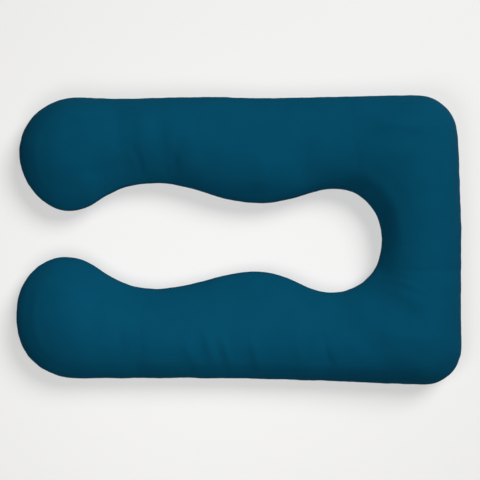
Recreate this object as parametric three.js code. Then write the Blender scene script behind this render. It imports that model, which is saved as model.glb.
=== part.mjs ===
// A contoured U-shaped body pillow, lying flat: one stuffed cover with two long arms joined by a head bar.
// Millimetres, +Z up. The origin is on the surface that the pillow lies on, under the middle of its outline.
// +X runs towards the closed head end and +Y across, from the back arm to the front arm.
import * as THREE from "three";

// Driving dimensions.
const SEAM_HEIGHT = 80; // the side seam that joins the top and bottom panels
const LOBE_TOP = 184; // height of the two knee lobes
const ARM_TOP = 162; // height of the two long arms
const CORNER_TOP = 190; // height in the two outer corners
const BAR_TOP = 188; // height of the head bar, between the corners
const ARCH_POWER = 0.7; // 0.5 gives an elliptical crown, and 1 a pointed one
const FOOT_INSET = 0.21; // share of the width from each seam to the flat that the pillow rests on
const TIP_INSET = 0.46; // the same share where the flat starts near a tip
const CROWN_SPANS = 2.5; // rows of the table from a tip to where the crown is full
const FOOT_SPANS = 1.3; // rows of the table from a tip to where the flat starts
const FLAT_SPANS = 1; // rows of the table from there to where the flat has its full width
const PUCKER_AT_SEAM = 0.3; // share of a pucker's depth that is left at its seam
const PUCKER_DEEPEST = 0.3; // share of a pucker's reach from its seam to where it is deepest

// Mesh: spacing of the cross-sections along the outer edge, steps over the top panel, and steps from each
// seam down to the flat.
const SECTION_PITCH = 18;
const TOP_STEPS = 12;
const FOOT_STEPS = 5;

// Cross-sections from the tip of the front arm, round the head bar, to the tip of the back arm.
// outer and inner are where the section meets the two edges: x, y and the edge's heading in degrees.
// top is the height of its crown, which leans towards the outer edge by a share of its rise.
const sections = [
  { at: "front tip", outer: [-702, 280, 90], inner: [-702, 280, -90], top: LOBE_TOP, lean: 0.1 },
  { at: "front tip round", outer: [-658, 397, 47], inner: [-656, 152, -52], top: LOBE_TOP, lean: 0.3 },
  { at: "front knee lobe", outer: [-510, 457, 0], inner: [-550, 93, 0], top: LOBE_TOP, lean: 0.45 },
  { at: "front knee neck", outer: [-389, 453, 0], inner: [-459, 124, 37], top: ARM_TOP, lean: 0.5 },
  { at: "front hip hollow", outer: [-264, 454, 1], inner: [-267, 182, 0], top: ARM_TOP, lean: 0.35 },
  { at: "front hip to waist", outer: [-78, 458, 0], inner: [-91, 147, -19], top: ARM_TOP, lean: 0.1 },
  { at: "front waist swell", outer: [78, 454, 0], inner: [69, 119, 0], top: ARM_TOP, lean: 0 },
  { at: "front waist to neck", outer: [251, 457, 1], inner: [203, 144, 17], top: ARM_TOP, lean: 0 },
  { at: "front pocket top", outer: [434, 461, 1], inner: [299, 166, 0], top: 168, lean: 0.05 },
  { at: "front corner start", outer: [580, 462, -3], inner: [360, 155, -22], top: CORNER_TOP, lean: 0.15 },
  { at: "front corner end", outer: [696, 342, -86], inner: [413, 117, -47], top: CORNER_TOP, lean: 0.2 },
  { at: "front bar shoulder", outer: [704, 176, -88], inner: [448, 56, -72], top: BAR_TOP, lean: 0.1 },
  { at: "bar middle", outer: [709, 0, -90], inner: [457, 2, -90], top: BAR_TOP, lean: 0.05 },
  { at: "back bar shoulder", outer: [708, -179, -90], inner: [446, -63, -109], top: BAR_TOP, lean: 0.05 },
  { at: "back corner start", outer: [710, -342, -90], inner: [419, -113, -131], top: CORNER_TOP, lean: 0.1 },
  { at: "back corner end", outer: [592, -463, -180], inner: [363, -154, -155], top: CORNER_TOP, lean: 0.1 },
  { at: "back pocket top", outer: [434, -457, -182], inner: [296, -168, -180], top: 165, lean: 0.2 },
  { at: "back waist to neck", outer: [251, -450, -182], inner: [181, -134, -206], top: 158, lean: 0.3 },
  { at: "back waist swell", outer: [72, -444, -181], inner: [46, -100, -180], top: 156, lean: 0.3 },
  { at: "back hip to waist", outer: [-88, -443, -180], inner: [-104, -129, -163], top: 156, lean: 0.25 },
  { at: "back hip hollow", outer: [-264, -442, -180], inner: [-274, -157, -180], top: 158, lean: 0.15 },
  { at: "back knee neck", outer: [-389, -442, -180], inner: [-456, -89, -216], top: ARM_TOP, lean: 0.1 },
  { at: "back knee lobe", outer: [-510, -443, -180], inner: [-560, -54, -180], top: LOBE_TOP, lean: 0 },
  { at: "back tip round", outer: [-659, -389, -225], inner: [-664, -103, -134], top: LOBE_TOP, lean: -0.1 },
  { at: "back tip", outer: [-710, -244, -270], inner: [-710, -244, -90], top: LOBE_TOP, lean: -0.1 },
];

// Soft troughs where the cover is gathered by its seam. place counts rows of the table from 0, lean turns the
// trough away from the cross-section in degrees, and the other sizes are in millimetres.
const puckers = [
  { edge: "inner", place: 3.5, lean: -8, reach: 140, width: 40, depth: 5.0 },
  { edge: "inner", place: 4.2, lean: -8, reach: 130, width: 40, depth: 4.5 },
  { edge: "outer", place: 7.6, lean: 4, reach: 110, width: 44, depth: 3.5 },
  { edge: "outer", place: 12.6, lean: 3, reach: 140, width: 38, depth: 4.0 },
  { edge: "inner", place: 13.5, lean: -4, reach: 110, width: 36, depth: 3.5 },
  { edge: "outer", place: 16.9, lean: -18, reach: 120, width: 40, depth: 4.5 },
  { edge: "outer", place: 18.3, lean: -14, reach: 105, width: 36, depth: 4.5 },
  { edge: "outer", place: 18.85, lean: -12, reach: 115, width: 36, depth: 5.0 },
  { edge: "outer", place: 19.4, lean: -12, reach: 110, width: 36, depth: 4.5 },
  { edge: "outer", place: 20.45, lean: -4, reach: 150, width: 38, depth: 5.0 },
];

const { clamp, degToRad, lerp, smoothstep } = THREE.MathUtils;
const CENTRE = new THREE.Vector2(0, 0);

// A smooth span of edge between two stations. Its handles make a circular arc where the headings allow one.
function edgeSpan([x0, y0, heading0], [x1, y1, heading1]) {
  const start = new THREE.Vector2(x0, y0);
  const end = new THREE.Vector2(x1, y1);
  const turn = degToRad(Math.abs(heading1 - heading0));
  const reach = start.distanceTo(end) / (3 * Math.cos(turn / 4) ** 2);
  const handle = (heading) => new THREE.Vector2(reach, 0).rotateAround(CENTRE, degToRad(heading));
  const [leave, arrive] = [start.clone().add(handle(heading0)), end.clone().sub(handle(heading1))];
  return new THREE.CubicBezierCurve(start, leave, arrive, end);
}

function edgeSpans(side) {
  return sections.slice(1).map((section, i) => edgeSpan(sections[i][side], section[side]));
}

const edges = { outer: edgeSpans("outer"), inner: edgeSpans("inner") };
const topCurve = new THREE.SplineCurve(sections.map(({ top }, i) => new THREE.Vector2(i, top)));
const leanCurve = new THREE.SplineCurve(sections.map(({ lean }, i) => new THREE.Vector2(i, lean)));
const lastRow = sections.length - 1;

// The point of an edge at a place, which counts rows of the table and may lie between two of them.
function edgePoint(side, place) {
  const row = Math.min(Math.floor(place), lastRow - 1);
  return edges[side][row].getPoint(place - row);
}

// How full the pillow is at a place: 0 at the two tips, and 1 from this many rows of the table inwards.
function fullness(place, spans) {
  const fromTip = Math.min(place, lastRow - place);
  return Math.sin((Math.min(fromTip / spans, 1) * Math.PI) / 2);
}

// The share of the width from each seam to the flat. The flat has a round end near each tip.
function footInset(place) {
  const fromTip = Math.min(place, lastRow - place);
  const grown = clamp((fromTip - FOOT_SPANS) / FLAT_SPANS, 0, 1);
  return lerp(TIP_INSET, FOOT_INSET, Math.sqrt(grown * (2 - grown)));
}

// The closed loop of points round the pillow at a place: over the top panel, down to the flat and up again.
function sectionLoop(place) {
  const outer = edgePoint("outer", place);
  const inner = edgePoint("inner", place);
  const swell = (topCurve.getPoint(place / lastRow).y - SEAM_HEIGHT) * fullness(place, CROWN_SPANS);
  const lean = leanCurve.getPoint(place / lastRow).y;
  const drop = SEAM_HEIGHT * fullness(place, FOOT_SPANS);
  const at = (share, z) => new THREE.Vector3(...outer.clone().lerp(inner, share), z);
  const top = Array.from({ length: TOP_STEPS + 1 }, (_, i) => {
    const level = Math.cos((Math.PI * i) / TOP_STEPS);
    const arch = (1 - level ** 2) ** ARCH_POWER * (1 + lean * level);
    return at((1 - level) / 2, SEAM_HEIGHT + swell * arch);
  });
  const foot = Array.from({ length: FOOT_STEPS }, (_, i) => {
    const angle = (Math.PI * (i + 1)) / (2 * FOOT_STEPS);
    return { inset: footInset(place) * (1 - Math.cos(angle)), z: SEAM_HEIGHT - drop * Math.sin(angle) };
  });
  const innerFoot = foot.map(({ inset, z }) => at(1 - inset, z));
  const outerFoot = foot.map(({ inset, z }) => at(inset, z)).reverse();
  return [...top, ...innerFoot, ...outerFoot];
}

// The places of the cross-sections, between the two tips.
function sectionPlaces() {
  const places = edges.outer.flatMap((span, row) => {
    const steps = Math.ceil(span.getLength() / SECTION_PITCH);
    return Array.from({ length: steps }, (_, i) => row + i / steps);
  });
  return places.slice(1);
}

// One closed mesh: a loop of points at each place, joined to the next, with a fan of triangles at each tip.
function pillowGeometry() {
  const loops = sectionPlaces().map(sectionLoop);
  const around = loops[0].length;
  const tip = ({ outer: [x, y] }) => new THREE.Vector3(x, y, SEAM_HEIGHT);
  const points = [tip(sections[0]), ...loops.flat(), tip(sections[lastRow])];
  const lastPoint = points.length - 1;
  const index = (loop, i) => 1 + loop * around + (i % around);
  const faces = [];
  for (let i = 0; i < around; i++) {
    faces.push(0, index(0, i + 1), index(0, i));
    for (let loop = 0; loop < loops.length - 1; loop++) {
      const [a, b] = [index(loop, i), index(loop, i + 1)];
      const [c, d] = [index(loop + 1, i), index(loop + 1, i + 1)];
      faces.push(a, b, d, a, d, c);
    }
    faces.push(lastPoint, index(loops.length - 1, i), index(loops.length - 1, i + 1));
  }
  const geometry = new THREE.BufferGeometry().setFromPoints(points);
  geometry.setIndex(faces);
  return geometry;
}

// How deep the pucker is at a point of the plan: shallow at its seam, deepest a little way in, then fading.
function puckerDepth({ edge, place, lean, reach, width, depth }, plan) {
  const root = edgePoint(edge, place);
  const across = edgePoint(edge === "outer" ? "inner" : "outer", place).sub(root).normalize();
  across.rotateAround(CENTRE, degToRad(lean));
  const offset = plan.clone().sub(root);
  const along = offset.dot(across);
  const aside = Math.abs(offset.cross(across)) / width;
  if (along > reach || along < -width || aside > 1) return 0;
  const bell = Math.cos((aside * Math.PI) / 2) ** 2;
  const deepest = reach * PUCKER_DEEPEST;
  const rise = PUCKER_AT_SEAM + (1 - PUCKER_AT_SEAM) * smoothstep(along, 0, deepest);
  return depth * bell * rise * (1 - smoothstep(along, deepest, reach));
}

// Presses the puckers into the cover along its normals, and leaves the flat that it rests on as it is.
function pressPuckers(geometry) {
  geometry.computeVertexNormals();
  const { position, normal } = geometry.attributes;
  const point = new THREE.Vector3();
  const outward = new THREE.Vector3();
  for (let i = 0; i < position.count; i++) {
    point.fromBufferAttribute(position, i);
    outward.fromBufferAttribute(normal, i);
    const plan = new THREE.Vector2(point.x, point.y);
    const depth = puckers.reduce((sum, pucker) => sum + puckerDepth(pucker, plan), 0);
    point.addScaledVector(outward, -depth * smoothstep(point.z, 0, SEAM_HEIGHT));
    position.setXYZ(i, point.x, point.y, point.z);
  }
  geometry.computeVertexNormals();
}

const cover = new THREE.MeshStandardMaterial({ color: 0x064a66, roughness: 0.9, metalness: 0 });
const geometry = pillowGeometry();
pressPuckers(geometry);

const pillow = new THREE.Mesh(geometry, cover);
pillow.name = "pillow";

const bodyPillow = new THREE.Group();
bodyPillow.add(pillow);

export default bodyPillow;
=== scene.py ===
import math
from collections import namedtuple

import bmesh
import bpy
import numpy as np
from bpy.props import FloatProperty, FloatVectorProperty, PointerProperty
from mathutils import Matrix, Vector, noise


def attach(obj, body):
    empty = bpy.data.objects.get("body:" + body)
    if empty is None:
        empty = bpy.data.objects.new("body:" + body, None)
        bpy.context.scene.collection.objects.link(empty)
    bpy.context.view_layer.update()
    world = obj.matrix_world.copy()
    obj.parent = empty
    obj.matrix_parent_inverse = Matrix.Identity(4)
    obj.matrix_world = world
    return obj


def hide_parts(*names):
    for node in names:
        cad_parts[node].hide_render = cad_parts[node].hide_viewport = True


bl_info = {
    "name": "Contoured Body Pillow",
    "version": (1, 0, 0),
    "blender": (4, 5, 0),
    "location": "View3D > Sidebar > Body Pillow",
    "description": "Models a stuffed U-shaped body pillow in a jersey cover, and the studio that it lies in",
    "category": "Add Mesh",
}

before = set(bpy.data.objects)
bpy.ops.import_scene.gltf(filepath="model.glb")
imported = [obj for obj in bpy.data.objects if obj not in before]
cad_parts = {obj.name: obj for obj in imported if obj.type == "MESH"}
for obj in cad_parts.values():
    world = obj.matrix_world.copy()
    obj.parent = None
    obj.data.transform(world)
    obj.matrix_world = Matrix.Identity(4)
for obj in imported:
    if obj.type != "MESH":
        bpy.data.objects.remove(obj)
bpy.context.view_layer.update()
NODE = "pillow"
MM = 0.001
PANEL_MAP = "OFBake"  # the map of the two flat panels
MAP_SIZE = 2.3  # metres that the whole map stands for
PANEL_RISE = 0.25  # height of the top panel's middle in the map; the bottom panel lies as far from the top
CLOTH_FRAMES = 20  # frames that the cloth simulation runs for
REST_HEIGHT = 2 * MM  # below it the cover lies on the floor
SMOOTHING_ROUNDS = 2  # how often the simulated move is averaged
LUMP_LENGTH = 150 * MM  # distance over which the broad lumps of the filling change
SMALL_LUMP_LENGTH = 60 * MM
SMALL_LUMP_SHARE = 0.45
GATHER_LENGTH = 30 * MM  # distance over which the gathers along the seam change
SMALL_GATHER_LENGTH = 15 * MM
SMALL_GATHER_SHARE = 0.6
GATHER_REACH = 20 * MM  # how far the gathers reach up and down from the seam
SWELL_REACH = 35 * MM  # how far the fuller sides reach up and down from the seam
SEAM_CUTS = (-2, -0.8, 0.8, 2)  # levels cut beside the seam, in widths of its furrow
LUMPS_FROM = (0.05, 0.6)  # lumps begin and are full at these shares of the seam's height
FOLDS_FROM = (0.8, 1.6)  # folds begin and are full at these shares of the seam's height
FOLD_FADE = 0.35  # share of a fold's line, at each end, over which the fold rises
FOLD_OVERRUN = 0.15  # how far before the line's end it already begins to rise, as a share of the line
CAMERA_OFFSET = (1.6 * MM, 0.2 * MM)

# Folds of the top panel, in millimetres: the line that each follows seen from above, the half width of its
# bulge and its height. A negative height is a valley. The widest ones are swells of the filling.
Fold = namedtuple("Fold", "line width height")
FOLDS = [
    # Front arm, hip.
    Fold(((-385, 420), (-385, 260)), 28, -6.0),
    Fold(((-310, 410), (-305, 285)), 22, 3.0),
    Fold(((-338, 300), (-316, 250), (-310, 188)), 12, -3.2),
    Fold(((-250, 405), (-245, 245)), 26, -5.5),
    Fold(((-204, 288), (-198, 188)), 14, -3.0),
    Fold(((-165, 375), (-140, 210)), 28, 3.0),
    # Front arm, waist and shoulder.
    Fold(((65, 285), (75, 150)), 46, 9.0),
    Fold(((200, 330), (190, 165)), 46, -9.0),
    # Front lobe.
    Fold(((-510, 400), (-520, 235)), 54, -8.0),
    Fold(((-400, 400), (-395, 220)), 28, 3.0),
    Fold(((-475, 210), (-480, 110)), 36, 8.0),
    Fold(((-590, 395), (-630, 345), (-645, 275), (-630, 195), (-585, 140)), 14, 1.6),
    # Upper right corner.
    Fold(((390, 368), (485, 364), (605, 350)), 18, 8.0),
    Fold(((400, 305), (595, 305)), 24, -3.0),
    Fold(((500, 430), (620, 412), (658, 360), (668, 60)), 40, 12.0),
    # Pocket wall.
    Fold(((315, 210), (395, 200), (450, 160), (490, 90), (500, 0), (480, -85)), 26, 7.0),
    Fold(((366, 288), (370, 218)), 12, -1.2),
    # Below the pocket.
    Fold(((426, -88), (500, -94), (664, -102)), 12, -1.8),
    Fold(((444, -118), (488, -128), (576, -156)), 12, 3.0),
    Fold(((475, -160), (580, -205)), 24, 4.5),
    # Back arm by the corner.
    Fold(((425, -185), (440, -375)), 30, -4.0),
    Fold(((440, -295), (615, -305)), 20, 3.0),
    Fold(((330, -295), (415, -400)), 26, 3.0),
    # Back arm, hip.
    Fold(((-415, -185), (-425, -395)), 28, 4.0),
    Fold(((-375, -245), (-370, -410)), 18, -2.5),
    Fold(((-314, -244), (-308, -344), (-304, -400)), 10, -1.2),
    Fold(((-266, -156), (-308, -206), (-332, -274)), 12, -1.6),
    # Back arm, waist.
    Fold(((-175, -295), (-160, -350), (-135, -405)), 20, 4.5),
    Fold(((-110, -280), (-90, -350), (-75, -400)), 16, 5.0),
    Fold(((-58, -294), (-42, -350), (-26, -400)), 14, 4.0),
    Fold(((36, -300), (48, -350), (60, -406)), 14, 3.6),
    Fold(((180, -275), (190, -395)), 20, 4.0),
    Fold(((254, -288), (294, -412)), 12, -3.0),
    # Back lobe.
    Fold(((-590, -100), (-635, -155), (-650, -245), (-630, -330), (-575, -380)), 14, 1.6),
    # Back arm, outer edge.
    Fold(((-560, -385), (35, -395), (655, -410)), 16, 1.6),
]


def smoothstep(value, low, high):
    t = np.clip((value - low) / (high - low), 0, 1)
    return t * t * (3 - 2 * t)


class PillowSettings(bpy.types.PropertyGroup):
    fold_height: FloatProperty(
        name="Fold height", description="How high the folds are, against their listed height", default=1.0,
    )
    lump_height: FloatProperty(
        name="Lump height", description="How far the filling pushes the cover in and out",
        default=1.6 * MM, unit="LENGTH",
    )
    filling_pressure: FloatProperty(
        name="Filling pressure", description="How hard the filling presses on the cover in the simulation",
        default=4.0,
    )
    spare_cloth: FloatProperty(
        name="Spare cloth", description="How much larger the cover is cut than the shape that it holds",
        default=0.4, subtype="PERCENTAGE",
    )
    swell_limit: FloatProperty(
        name="Swell limit", description="How far the simulation may move a point of the cover",
        default=4 * MM, unit="LENGTH",
    )
    side_swell: FloatProperty(
        name="Side swell", description="How far the cover stands out on both sides of its seam",
        default=2.4 * MM, unit="LENGTH",
    )
    pucker_height: FloatProperty(
        name="Pucker height", description="How far the cover is gathered along its seam",
        default=1.1 * MM, unit="LENGTH",
    )
    seam_depth: FloatProperty(
        name="Seam depth", description="How deep the side seam is drawn in", default=2.6 * MM, unit="LENGTH",
    )
    seam_width: FloatProperty(
        name="Seam width", description="Half the width of the furrow along the side seam",
        default=3.0 * MM, unit="LENGTH",
    )


class JerseySettings(bpy.types.PropertyGroup):
    colour: FloatVectorProperty(
        name="Colour", description="Colour of the dyed jersey", subtype="COLOR",
        default=(0.0018, 0.071, 0.132),
    )
    # Colour of the painted shade between the stitches, and of the darker unevenly dyed and worn patches.
    stitch_shade_and_wear_colour: FloatVectorProperty(
        name="Deep colour", description="Colour between the stitches and in worn patches", subtype="COLOR",
        default=(0.0012, 0.055, 0.106),
    )
    stitch_width: FloatProperty(
        name="Stitch width", description="Width of one knitted stitch", default=1.3 * MM, unit="LENGTH",
    )
    stitch_relief: FloatProperty(
        name="Stitch relief", description="Height of the knitted stitches", default=0.25 * MM, unit="LENGTH",
    )


class StudioSettings(bpy.types.PropertyGroup):
    floor_colour: FloatVectorProperty(
        name="Floor colour", description="Colour of the floor", subtype="COLOR",
        default=(0.915, 0.91, 0.9),
    )
    view_width: FloatProperty(
        name="View width", description="Width of the view at the height of the seam",
        default=1.536, unit="LENGTH",
    )
    lens: FloatProperty(
        name="Lens", description="Focal length of the camera", default=85.0,
    )
    key_power: FloatProperty(
        name="Key light", description="Power of the large soft light from the upper right", default=765.0,
    )
    key_size: FloatProperty(
        name="Key size", description="Diameter of the key light", default=5.0, unit="LENGTH",
    )
    key_place: FloatVectorProperty(
        name="Key place", description="Where the key light hangs", subtype="XYZ", unit="LENGTH",
        default=(4.1, 4.5, 7.2),
    )
    fill_power: FloatProperty(
        name="Fill light", description="Power of the near soft light over the back arm", default=14.0,
    )
    fill_size: FloatProperty(
        name="Fill size", description="Diameter of the fill light", default=1.0, unit="LENGTH",
    )
    fill_place: FloatVectorProperty(
        name="Fill place", description="Where the fill light hangs", subtype="XYZ", unit="LENGTH",
        default=(-0.3, -0.5, 1.8),
    )
    sky_strength: FloatProperty(
        name="Sky light", description="Strength of the even light from all round", default=0.02,
    )
    backdrop_strength: FloatProperty(
        name="Backdrop strength", description="Brightness of the backdrop beyond the floor", default=0.45,
    )
    floor_glow: FloatProperty(
        name="Floor glow", description="Share of the floor's brightness that no shadow takes away",
        default=0.5, subtype="FACTOR",
    )


def deselect_all():
    if bpy.context.object and bpy.context.object.mode != "OBJECT":
        bpy.ops.object.mode_set(mode="OBJECT")
    bpy.ops.object.select_all(action="DESELECT")


def make_active(piece):
    deselect_all()
    piece.select_set(True)
    bpy.context.view_layer.objects.active = piece


def apply_modifier(piece, kind, **settings):
    modifier = piece.modifiers.new(kind.lower(), kind)
    for name, value in settings.items():
        setattr(modifier, name, value)
    make_active(piece)
    bpy.ops.object.modifier_apply(modifier=modifier.name)


def subdivide(piece, levels):
    apply_modifier(piece, "SUBSURF", levels=levels, render_levels=levels)


def copy_of_node(node, name):
    """A copy of a CAD node as one closed shell of quads."""
    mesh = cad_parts[node].data.copy()
    mesh.name = name
    mesh.materials.clear()
    piece = bpy.data.objects.new(name, mesh)
    bpy.context.scene.collection.objects.link(piece)
    make_active(piece)
    bpy.ops.mesh.customdata_custom_splitnormals_clear()
    bpy.ops.object.mode_set(mode="EDIT")
    bpy.ops.mesh.select_all(action="SELECT")
    bpy.ops.mesh.remove_doubles(threshold=0.01 * MM)
    bpy.ops.mesh.tris_convert_to_quads(face_threshold=math.pi, shape_threshold=math.pi, topology_influence=2)
    bpy.ops.object.mode_set(mode="OBJECT")
    return piece


def points_of(piece):
    """The piece's points and their normals, as two arrays of rows."""
    mesh = piece.data
    points = np.empty(len(mesh.vertices) * 3, np.float32)
    normals = np.empty(len(mesh.vertices) * 3, np.float32)
    mesh.vertices.foreach_get("co", points)
    mesh.vertex_normals.foreach_get("vector", normals)
    return points.reshape(-1, 3).astype(float), normals.reshape(-1, 3).astype(float)


def move_points(piece, points):
    piece.data.vertices.foreach_set("co", points.astype(np.float32).ravel())
    piece.data.update()


def push_out(piece, distance):
    """Moves each point of the piece along its normal."""
    points, normals = points_of(piece)
    move_points(piece, points + normals * distance(points)[:, None])


def even_out(piece, field, rounds):
    """Averages a value that each point of the piece has with its neighbours' values."""
    ends = np.array([edge.vertices[:] for edge in piece.data.edges])
    neighbours = np.bincount(ends.ravel(), minlength=len(field))[:, None]
    for _ in range(rounds):
        total = np.zeros_like(field)
        np.add.at(total, ends[:, 0], field[ends[:, 1]])
        np.add.at(total, ends[:, 1], field[ends[:, 0]])
        field = (field + total / neighbours) / 2
    return field


def seam_height_of(piece):
    """The height where the shell is widest."""
    points, _ = points_of(piece)
    return float(points[np.argmax(points[:, 1]), 2])


def cut_panels(piece, seam_height):
    """Marks the side seam and lays the top and bottom panels out flat in the piece's own map."""
    make_active(piece)
    bpy.ops.object.mode_set(mode="EDIT")
    shell = bmesh.from_edit_mesh(piece.data)
    for edge in shell.edges:
        above = [face.calc_center_median().z > seam_height for face in edge.link_faces]
        edge.seam = above[0] != above[1]
    bmesh.update_edit_mesh(piece.data)
    bpy.ops.mesh.select_all(action="SELECT")
    piece.data.uv_layers.new(name=PANEL_MAP)
    bpy.ops.uv.unwrap(method="ANGLE_BASED", margin=0.01)
    bpy.ops.object.mode_set(mode="OBJECT")
    place_panels(piece, seam_height)


def place_panels(piece, seam_height):
    """Turns and scales each panel of the map to lie as the pillow lies, one panel beside the other."""
    mesh = piece.data
    layer = mesh.uv_layers[PANEL_MAP].uv
    flat = np.empty(len(layer) * 2, np.float32)
    layer.foreach_get("vector", flat)
    flat = flat.reshape(-1, 2).astype(float)
    points, _ = points_of(piece)
    corner_point = np.array([loop.vertex_index for loop in mesh.loops])
    top_corner = np.zeros(len(mesh.loops), bool)
    for face in mesh.polygons:
        top_corner[face.loop_start:face.loop_start + face.loop_total] = face.center.z > seam_height
    for side, rise in ((top_corner, PANEL_RISE), (~top_corner, 1 - PANEL_RISE)):
        panel = flat[side] - flat[side].mean(0)
        plan = points[corner_point[side], :2]
        plan = plan - plan.mean(0)
        left, stretch, right = np.linalg.svd(panel.T @ plan)
        turned = panel @ left @ right
        scale = stretch.sum() / (panel ** 2).sum()
        flat[side] = turned * scale / MAP_SIZE + (0.5, rise)
    layer.foreach_set("vector", flat.astype(np.float32).ravel())


def sewn_points(piece):
    """Which points lie on the side seam."""
    sewn = np.zeros(len(piece.data.vertices), bool)
    for edge in piece.data.edges:
        if edge.use_seam:
            sewn[list(edge.vertices)] = True
    return sewn


def fill_cover(piece, shape):
    """Blows the cover up with the cloth simulation, sewn at the side and pressed flat below."""
    before, _ = points_of(piece)
    held = sewn_points(piece) | (before[:, 2] < REST_HEIGHT)
    pins = piece.vertex_groups.new(name="held")
    pins.add(np.flatnonzero(held).tolist(), 1.0, "REPLACE")
    modifier = piece.modifiers.new("cloth", "CLOTH")
    modifier.point_cache.frame_end = CLOTH_FRAMES
    modifier.collision_settings.use_collision = False
    cloth = modifier.settings
    cloth.vertex_group_mass = pins.name
    cloth.use_pressure = True
    cloth.uniform_pressure_force = shape.filling_pressure
    cloth.shrink_min = -shape.spare_cloth / 100
    cloth.effector_weights.gravity = 0
    for number in range(1, CLOTH_FRAMES + 1):
        bpy.context.scene.frame_set(number)
    make_active(piece)
    bpy.ops.object.modifier_apply(modifier=modifier.name)
    bpy.context.scene.frame_set(1)
    piece.vertex_groups.clear()
    move = even_out(piece, points_of(piece)[0] - before, SMOOTHING_ROUNDS)
    length = np.linalg.norm(move, axis=1, keepdims=True)
    move *= shape.swell_limit / (shape.swell_limit + length)
    move[held] = 0
    move_points(piece, before + move)


def wander(points, wavelength):
    """A smooth random height from about -1 to 1 at each point, the same on each run."""
    return np.array([noise.noise(Vector(point) / wavelength) for point in points])


def fold_height(points, fold):
    """How far one fold lifts the cover, fading out towards both ends of its line."""
    corners = np.array(fold.line) * MM
    lengths = np.linalg.norm(np.diff(corners, axis=0), axis=1)
    starts = np.concatenate(((0,), np.cumsum(lengths)))
    nearest = np.full(len(points), np.inf)
    along = np.zeros(len(points))
    for start, end, length, begun in zip(corners, corners[1:], lengths, starts):
        share = np.clip((points[:, :2] - start) @ (end - start) / length ** 2, 0, 1)
        away = np.linalg.norm(points[:, :2] - start - share[:, None] * (end - start), axis=1)
        closer = away < nearest
        nearest = np.where(closer, away, nearest)
        along = np.where(closer, (begun + share * length) / starts[-1], along)
    risen = smoothstep(along, -FOLD_OVERRUN, FOLD_FADE)
    left = 1 - smoothstep(along, 1 - FOLD_FADE, 1 + FOLD_OVERRUN)
    return fold.height * MM * risen * left * np.exp(-(nearest / (fold.width * MM)) ** 2)


def press_folds(piece, seam_height, depth):
    """Lifts and lowers the top panel along the folds."""
    points, _ = points_of(piece)
    begin, full = FOLDS_FROM
    shown = smoothstep(points[:, 2], begin * seam_height, full * seam_height)
    points[:, 2] += depth * shown * sum(fold_height(points, fold) for fold in FOLDS)
    move_points(piece, points)


def settle_filling(piece, seam_height, height):
    """Uneven filling: broad soft lumps with smaller ones on them, and none on the flat underside."""
    begin, full = LUMPS_FROM

    def distance(points):
        small = SMALL_LUMP_SHARE * wander(points + 1, SMALL_LUMP_LENGTH)
        lumps = wander(points, LUMP_LENGTH) + small
        return height * lumps * smoothstep(points[:, 2], begin * seam_height, full * seam_height)
    push_out(piece, distance)


def sew_side(piece, seam_height, settings):
    """Draws the side seam in, with short gathers across it and fuller cloth on both sides."""
    make_active(piece)
    bpy.ops.object.mode_set(mode="EDIT")
    for widths in SEAM_CUTS:
        bpy.ops.mesh.select_all(action="SELECT")
        level = seam_height + widths * settings.seam_width
        bpy.ops.mesh.bisect(plane_co=(0, 0, level), plane_no=(0, 0, 1), threshold=0.1 * MM)
    bpy.ops.object.mode_set(mode="OBJECT")

    def distance(points):
        off_seam = np.abs(points[:, 2] - seam_height)
        plan = points * (1, 1, 0)
        small = SMALL_GATHER_SHARE * wander(plan + 1, SMALL_GATHER_LENGTH)
        gathers = wander(plan, GATHER_LENGTH) + small
        pucker = settings.pucker_height * gathers * np.exp(-off_seam / GATHER_REACH)
        furrow = settings.seam_depth * np.exp(-(off_seam / settings.seam_width) ** 2)
        swell = settings.side_swell * np.exp(-(off_seam / SWELL_REACH) ** 2)
        return pucker - furrow + swell
    push_out(piece, distance)


class Value:
    """A number that varies over a surface. Arithmetic on it adds Math nodes."""

    def __init__(self, finish, socket):
        self.finish = finish
        self.socket = socket

    def maths(self, operation, *operands):
        values = dict(enumerate(operands))
        return self.finish.add("ShaderNodeMath", {"operation": operation}, values)

    def __add__(self, other):
        return self.maths("ADD", self, other)

    def __radd__(self, other):
        return self.maths("ADD", other, self)

    def __sub__(self, other):
        return self.maths("SUBTRACT", self, other)

    def __rsub__(self, other):
        return self.maths("SUBTRACT", other, self)

    def __mul__(self, other):
        return self.maths("MULTIPLY", self, other)

    def __rmul__(self, other):
        return self.maths("MULTIPLY", other, self)

    def __abs__(self):
        return self.maths("ABSOLUTE", self)

    def fraction(self):
        return self.maths("FRACT", self)

    def cosine(self):
        return self.maths("COSINE", self)


class Finish:
    """A material, built node by node."""

    def __init__(self, name):
        self.material = bpy.data.materials.new(name)
        self.material.use_nodes = True
        self.tree = self.material.node_tree
        self.tree.nodes.clear()

    def add(self, kind, settings=None, values=None, output=0):
        """Adds a node: its settings first, then the values or links of its sockets. Returns one output."""
        node = self.tree.nodes.new(kind)
        for name, setting in (settings or {}).items():
            setattr(node, name, setting)
        for name, value in (values or {}).items():
            if isinstance(value, Value):
                self.tree.links.new(value.socket, node.inputs[name])
            else:
                node.inputs[name].default_value = value
        return Value(self, node.outputs[output]) if node.outputs else None

    def mix(self, factor, first, second):
        settings = {"data_type": "RGBA"}
        return self.add("ShaderNodeMix", settings, {"Factor": factor, 6: first, 7: second}, output=2)


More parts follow.
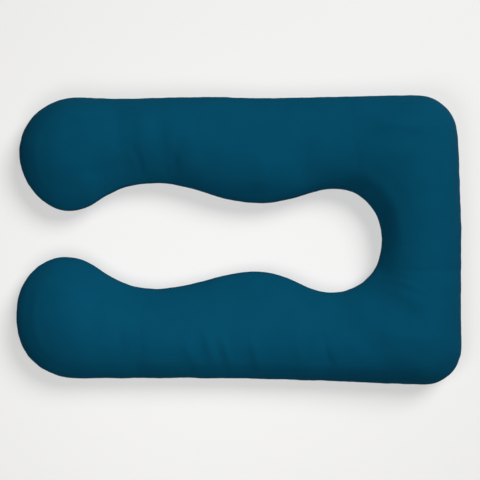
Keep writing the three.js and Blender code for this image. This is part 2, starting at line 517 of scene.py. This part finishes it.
def jersey(settings):
    """Dyed cotton jersey: columns of small V-shaped stitches, with painted shade darkening the colour
    between them, a matt surface and faint uneven dyeing.
    """
    finish = Finish("teal_jersey")
    panel = finish.add("ShaderNodeUVMap", {"uv_map": PANEL_MAP})
    stitch_height = 0.8 * settings.stitch_width
    stitches = finish.add("ShaderNodeMapping", values={
        "Vector": panel,
        "Scale": (MAP_SIZE / settings.stitch_width, MAP_SIZE / stitch_height, 1),
    })
    column = finish.add("ShaderNodeSeparateXYZ", values={"Vector": stitches}, output=0)
    row = finish.add("ShaderNodeSeparateXYZ", values={"Vector": stitches}, output=1)
    across = abs(column.fraction() - 0.5) * 2  # 0 in the middle of a column, 1 at its sides
    v_slope = 0.6  # share of a stitch that its two legs rise
    gap_depth = 0.35  # how far the yarn dips between one stitch and the next
    slant = (row + across * v_slope) * (2 * math.pi)
    stitch = (slant.cosine() * gap_depth + (1 - gap_depth)) * (1 - across * across)

    place = finish.add("ShaderNodeTexCoord", output="Object")
    fuzz = finish.add("ShaderNodeTexNoise", values={"Vector": place, "Scale": 900.0, "Detail": 2.0})
    dye = finish.add("ShaderNodeTexNoise", values={"Vector": place, "Scale": 14.0, "Detail": 4.0})
    wear = finish.add("ShaderNodeTexNoise", values={"Vector": place, "Scale": 3.0, "Detail": 2.0})

    # The colour is painted darker where the stitches dip, as shade between them; the dye and wear noise add
    # random darker patches.
    painted_gap_shade, dye_shade, wear_shade, lightest = 0.35, 0.6, 0.4, 0.3
    stitch_shade_dye_and_wear = (1 - stitch) * painted_gap_shade + dye * dye_shade + wear * wear_shade - lightest
    colour = finish.mix(stitch_shade_dye_and_wear, (*settings.colour, 1), (*settings.stitch_shade_and_wear_colour, 1))
    fuzz_share = 0.3
    height = stitch * (1 - fuzz_share) + fuzz * fuzz_share
    relief = finish.add("ShaderNodeBump", values={
        "Height": height, "Strength": 0.6, "Distance": settings.stitch_relief,
    })
    least_roughness = 0.86
    roughness = least_roughness + dye * 0.1
    cloth = finish.add("ShaderNodeBsdfPrincipled", values={
        "Base Color": colour, "Roughness": roughness, "Normal": relief, "Specular IOR Level": 0.015,
    })
    finish.add("ShaderNodeOutputMaterial", values={"Surface": cloth})
    return finish.material


def pale_floor(colour, glow):
    """A matt floor that is partly lit from within, so that shadows on it stay light."""
    finish = Finish("pale_floor")
    lit_colour = [(1 - glow) * part for part in colour]
    surface = finish.add("ShaderNodeBsdfPrincipled", values={
        "Base Color": (*lit_colour, 1), "Roughness": 1.0, "Specular IOR Level": 0.0,
        "Emission Color": (*colour, 1), "Emission Strength": glow,
    })
    finish.add("ShaderNodeOutputMaterial", values={"Surface": surface})
    return finish.material


class BODY_PILLOW_OT_cover(bpy.types.Operator):
    """Model the stuffed cover around the CAD solid: lumps, folds, side seam and jersey"""

    bl_idname = "body_pillow.cover"
    bl_label = "Stuffed Cover"

    def execute(self, context):
        shape = context.scene.body_pillow_shape
        cover = copy_of_node(NODE, "pillow_cover")
        seam_height = seam_height_of(cover)
        cut_panels(cover, seam_height)
        subdivide(cover, 1)
        fill_cover(cover, shape)
        subdivide(cover, 1)
        settle_filling(cover, seam_height, shape.lump_height)
        press_folds(cover, seam_height, shape.fold_height)
        sew_side(cover, seam_height, shape)
        cover.data.materials.append(jersey(context.scene.body_pillow_jersey))
        make_active(cover)
        bpy.ops.object.shade_smooth()
        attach(cover, "root")
        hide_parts(NODE)
        return {"FINISHED"}


class BODY_PILLOW_OT_stage(bpy.types.Operator):
    """Set up the pale floor, the soft studio light and the camera straight above the pillow"""

    bl_idname = "body_pillow.stage"
    bl_label = "Studio"

    def execute(self, context):
        studio = context.scene.body_pillow_studio
        self.lay_floor(studio)
        self.hang_lights(studio)
        self.surround(context.scene, studio)
        self.hang_camera(context.scene, studio)
        context.scene.view_settings.view_transform = "Standard"
        return {"FINISHED"}

    def lay_floor(self, studio):
        deselect_all()
        bpy.ops.mesh.primitive_plane_add(size=40, location=(0, 0, 0))
        floor = bpy.context.object
        floor.name = "floor"
        floor.data.materials.append(pale_floor(studio.floor_colour, studio.floor_glow))

    def hang_light(self, name, place, size, power):
        place = Vector(place)
        bpy.ops.object.light_add(type="AREA", location=place)
        lamp = bpy.context.object
        lamp.name = name
        lamp.rotation_euler = place.to_track_quat("Z", "Y").to_euler()
        lamp.data.shape = "DISK"
        lamp.data.size = size
        lamp.data.energy = power
        lamp.visible_camera = False

    def hang_lights(self, studio):
        self.hang_light("key_light", studio.key_place, studio.key_size, studio.key_power)
        self.hang_light("fill_light", studio.fill_place, studio.fill_size, studio.fill_power)

    def surround(self, scene, studio):
        """A sky that gives little light, with a pale backdrop where it is seen past the floor."""
        world = bpy.data.worlds.new("even_sky")
        world.use_nodes = True
        nodes = world.node_tree.nodes
        sky = nodes["Background"]
        backdrop = nodes.new("ShaderNodeBackground")
        for node, strength in ((sky, studio.sky_strength), (backdrop, studio.backdrop_strength)):
            node.inputs["Color"].default_value = (1, 1, 1, 1)
            node.inputs["Strength"].default_value = strength
        seen = nodes.new("ShaderNodeLightPath")
        choice = nodes.new("ShaderNodeMixShader")
        links = world.node_tree.links
        links.new(seen.outputs["Is Camera Ray"], choice.inputs[0])
        links.new(sky.outputs[0], choice.inputs[1])
        links.new(backdrop.outputs[0], choice.inputs[2])
        links.new(choice.outputs[0], nodes["World Output"].inputs["Surface"])
        scene.world = world

    def hang_camera(self, scene, studio):
        seam_height = seam_height_of(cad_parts[NODE])
        camera = bpy.data.cameras.new("camera_above")
        camera.lens = studio.lens
        camera.clip_end = 100
        height = studio.view_width * camera.lens / camera.sensor_width
        above = bpy.data.objects.new("camera_above", camera)
        above.location = (*CAMERA_OFFSET, seam_height + height)
        scene.collection.objects.link(above)
        scene.camera = above


class BODY_PILLOW_PT_sidebar(bpy.types.Panel):
    """Lists the pillow's sizes, its jersey and the studio"""

    bl_label = "Body Pillow"
    bl_idname = "BODY_PILLOW_PT_sidebar"
    bl_space_type = "VIEW_3D"
    bl_region_type = "UI"
    bl_category = "Body Pillow"

    def draw(self, context):
        for operator, settings in (
            (BODY_PILLOW_OT_cover, context.scene.body_pillow_shape),
            (None, context.scene.body_pillow_jersey),
            (BODY_PILLOW_OT_stage, context.scene.body_pillow_studio),
        ):
            box = self.layout.box()
            for name in type(settings).__annotations__:
                box.prop(settings, name)
            if operator:
                box.operator(operator.bl_idname)


CLASSES = (
    PillowSettings, JerseySettings, StudioSettings,
    BODY_PILLOW_OT_cover, BODY_PILLOW_OT_stage, BODY_PILLOW_PT_sidebar,
)


def register():
    for each in CLASSES:
        bpy.utils.register_class(each)
    bpy.types.Scene.body_pillow_shape = PointerProperty(type=PillowSettings)
    bpy.types.Scene.body_pillow_jersey = PointerProperty(type=JerseySettings)
    bpy.types.Scene.body_pillow_studio = PointerProperty(type=StudioSettings)


def unregister():
    del bpy.types.Scene.body_pillow_studio
    del bpy.types.Scene.body_pillow_jersey
    del bpy.types.Scene.body_pillow_shape
    for each in reversed(CLASSES):
        bpy.utils.unregister_class(each)


def main():
    register()
    bpy.ops.body_pillow.stage()
    bpy.ops.body_pillow.cover()


if __name__ == "__main__":
    main()
